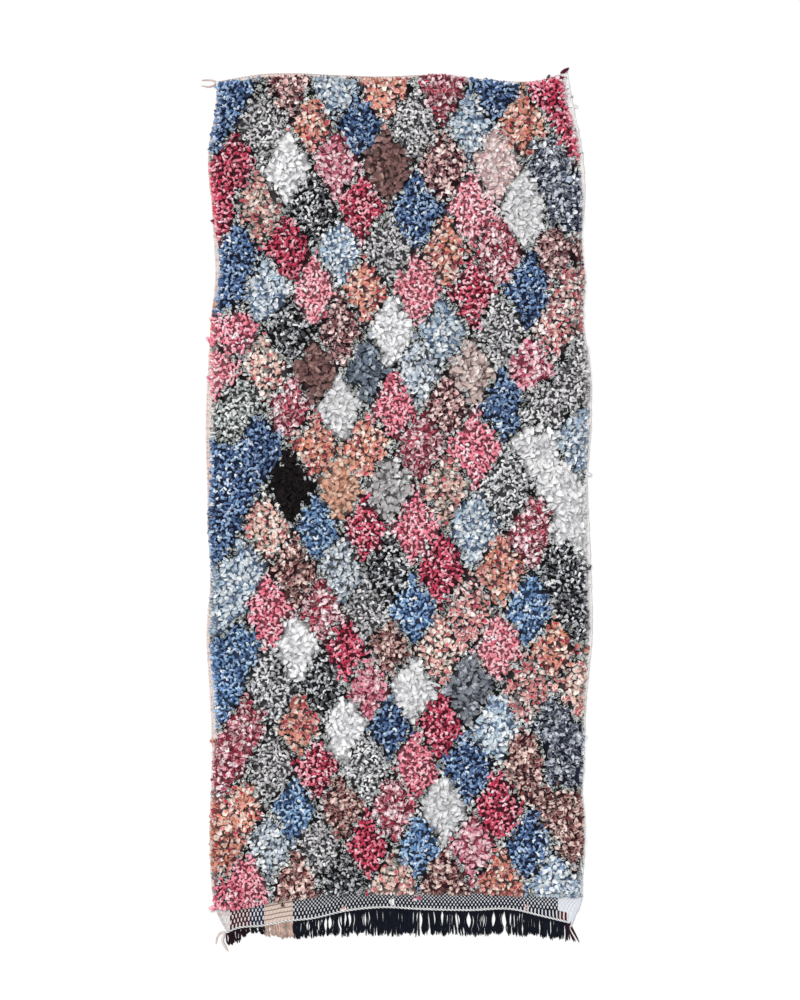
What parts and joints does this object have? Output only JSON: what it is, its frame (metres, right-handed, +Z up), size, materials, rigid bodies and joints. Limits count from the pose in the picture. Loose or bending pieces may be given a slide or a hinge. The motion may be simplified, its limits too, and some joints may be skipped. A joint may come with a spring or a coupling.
{
  "type": "boucherouite rug",
  "caption": "Hand-knotted rag runner lying flat: lumpy shag pile in lozenges on a woven ground, with a plain corded end and a fringed end.",
  "frame": {"origin": "on the floor under the middle of the rug's outline", "axes": "+Z up out of the pile, +Y along the length towards the plain corded end, +X across to the right"},
  "size_m": [1.0789, 2.4297, 0.0295],
  "materials": {
    "ground": "matte hand-woven wool and cotton",
    "pile": "matte knotted cotton and jersey rags",
    "cord": "matte twined cotton",
    "warp_maroon": "matte cut warp",
    "warp_black": "matte cut warp",
    "warp_fawn": "matte cut warp",
    "warp_navy": "matte cut warp",
    "warp_plum": "matte cut warp",
    "rag": "matte cotton rag"
  },
  "bodies": {
    "root": {"ground": "ground", "pile": "pile", "top_cord": "cord", "hem_cord": "cord", "fringe_maroon": "warp_maroon", "fringe_black": "warp_black", "fringe_fawn": "warp_fawn", "fringe_navy": "warp_navy", "fringe_plum": "warp_plum", "top_tie": "cord", "hem_tails": "cord", "corner_rag": "rag"}
  },
  "joints": []
}
